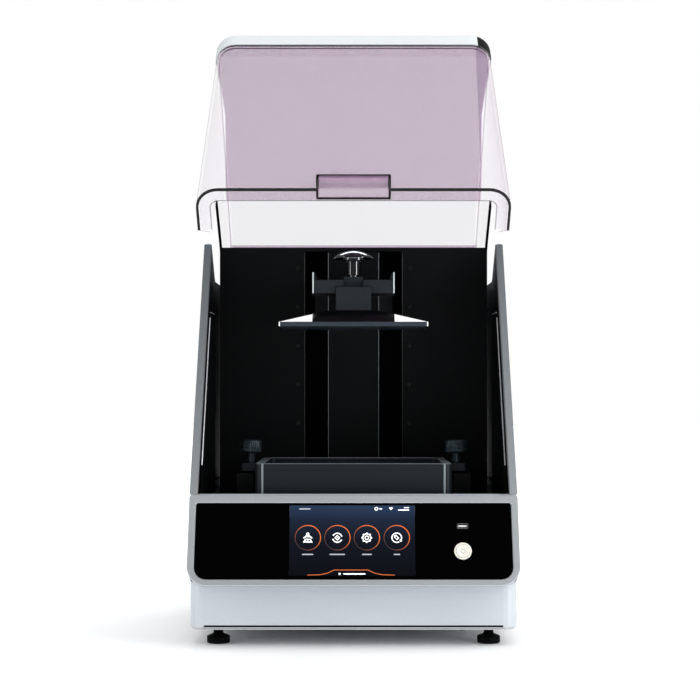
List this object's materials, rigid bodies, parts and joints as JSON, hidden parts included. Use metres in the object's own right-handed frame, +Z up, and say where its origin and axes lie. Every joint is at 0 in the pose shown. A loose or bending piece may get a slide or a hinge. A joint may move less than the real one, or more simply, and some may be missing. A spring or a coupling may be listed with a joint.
{
  "type": "resin printer",
  "caption": "Desktop resin printer with a tilting clear hood, a build platform on a vertical lift, a resin vat held by thumbscrews, and a leaning touch-screen console.",
  "frame": {"origin": "middle of the bounding box with the hood open, at the level of the feet's soles", "axes": "+X to the right as seen by the person using it, -Y towards that person, +Z up"},
  "size_m": [0.406, 0.5748, 0.8141],
  "materials": {
    "silver_paint": "satin metallic silver",
    "grey_white_paint": "fine satin grey-white paint",
    "black_powder_coat": "matt black powder coat",
    "black_glass": "gloss black cover lens",
    "screen": "lit navy display under a gloss cover",
    "machined_metal": "fine machined, clear anodised",
    "bearing_steel": "ground steel",
    "polished_metal": "polished",
    "anodised_blue_black": "blue-black anodised",
    "foot_rubber": "matt black",
    "violet_acrylic": "clear violet-tinted acrylic, UV blocking",
    "black_plastic": "fine matt",
    "circuit_board": "green solder mask",
    "clear_film": "clear release film"
  },
  "bodies": {
    "printer_body": {"back_wall": "black_powder_coat", "base_shell": "grey_white_paint", "bottom_plate": "silver_paint", "clamp_post_left": "black_powder_coat", "clamp_post_right": "black_powder_coat", "column_cover": "black_powder_coat", "console_bezel": "silver_paint", "console_glass": "black_glass", "console_housing": "grey_white_paint", "deck_plate": "black_powder_coat", "display_panel": "screen", "fan_frame": "black_plastic", "foot_front_left": "foot_rubber", "foot_front_right": "foot_rubber", "foot_rear_left": "foot_rubber", "foot_rear_right": "foot_rubber", "hinge_pin_left": "bearing_steel", "hinge_pin_right": "bearing_steel", "lamp_board": "circuit_board", "lamp_heatsink": "machined_metal", "lcd_mask": "black_glass", "lift_motor": "black_plastic", "light_tunnel": "black_plastic", "main_board": "circuit_board", "mains_inlet": "black_plastic", "power_button_ring": "machined_metal", "power_supply": "machined_metal", "screw_top_bearing": "bearing_steel", "side_frame_left": "silver_paint", "side_frame_right": "silver_paint", "side_liner_left": "black_powder_coat", "side_liner_right": "black_powder_coat", "side_panel_left": "grey_white_paint", "side_panel_right": "grey_white_paint", "tower_cover": "grey_white_paint", "usb_port": "machined_metal", "wall_screws_left": "machined_metal", "wall_screws_right": "machined_metal", "z_column": "machined_metal", "z_rail": "bearing_steel"},
    "hood": {"hood_shell": "violet_acrylic", "hood_band": "silver_paint", "hood_grip": "violet_acrylic"},
    "lift": {"z_carriage": "black_powder_coat", "lift_nut": "bearing_steel", "arm_bracket": "black_powder_coat", "platform_neck": "black_powder_coat", "build_platform": "machined_metal"},
    "platform_knob": {"platform_knob": "polished_metal"},
    "screw": {"lift_screw": "bearing_steel", "motor_coupling": "bearing_steel"},
    "vat": {"vat_body": "anodised_blue_black", "vat_film": "clear_film", "film_ring": "machined_metal"},
    "thumbscrew_left": {"thumbscrew_left": "anodised_blue_black"},
    "thumbscrew_right": {"thumbscrew_right": "anodised_blue_black"},
    "power_button": {"power_button": "machined_metal"},
    "power_switch": {"power_switch": "black_plastic"},
    "fan": {"fan_rotor": "black_plastic"}
  },
  "joints": [
    {"name": "hood_hinge", "type": "hinge", "parent": "printer_body", "child": "hood", "pos_m": [0, 0.17637, 0.438], "axis": [1, 0, 0], "range_deg": [0, 46.9]},
    {"name": "platform_lift", "type": "slide", "parent": "printer_body", "child": "lift", "axis": [0, 0, 1], "range_m": [-0.218, 0]},
    {"name": "screw_spin", "type": "hinge", "parent": "printer_body", "child": "screw", "pos_m": [0.0215, 0.07937, 0.337], "axis": [0, 0, 1], "range_deg": [0, 15700]},
    {"name": "knob_spin", "type": "hinge", "parent": "lift", "child": "platform_knob", "pos_m": [0, -0.08863, 0.488], "axis": [0, 0, 1], "continuous": true},
    {"name": "vat_lift", "type": "slide", "parent": "printer_body", "child": "vat", "axis": [0, 0, 1], "range_m": [0, 0.06]},
    {"name": "thumbscrew_left_spin", "type": "hinge", "parent": "vat", "child": "thumbscrew_left", "pos_m": [-0.1356, -0.08863, 0.233], "axis": [0, 0, 1], "continuous": true},
    {"name": "thumbscrew_right_spin", "type": "hinge", "parent": "vat", "child": "thumbscrew_right", "pos_m": [0.1356, -0.08863, 0.233], "axis": [0, 0, 1], "continuous": true},
    {"name": "power_button_press", "type": "slide", "parent": "printer_body", "child": "power_button", "axis": [0, 0.9311, -0.3649], "range_m": [0, 0.0012], "stiffness_N_per_m": 400, "springref_m": -0.0008},
    {"name": "power_switch_rock", "type": "hinge", "parent": "printer_body", "child": "power_switch", "pos_m": [0.112, 0.19737, 0.068], "axis": [1, 0, 0], "range_deg": [-16, 0]},
    {"name": "fan_spin", "type": "hinge", "parent": "printer_body", "child": "fan", "pos_m": [-0.06, 0.18737, 0.098], "axis": [0, 1, 0], "continuous": true}
  ],
  "couplings": [
    {"joint": "screw_spin", "follows": "platform_lift", "rad_per_m": -1256.6}
  ]
}
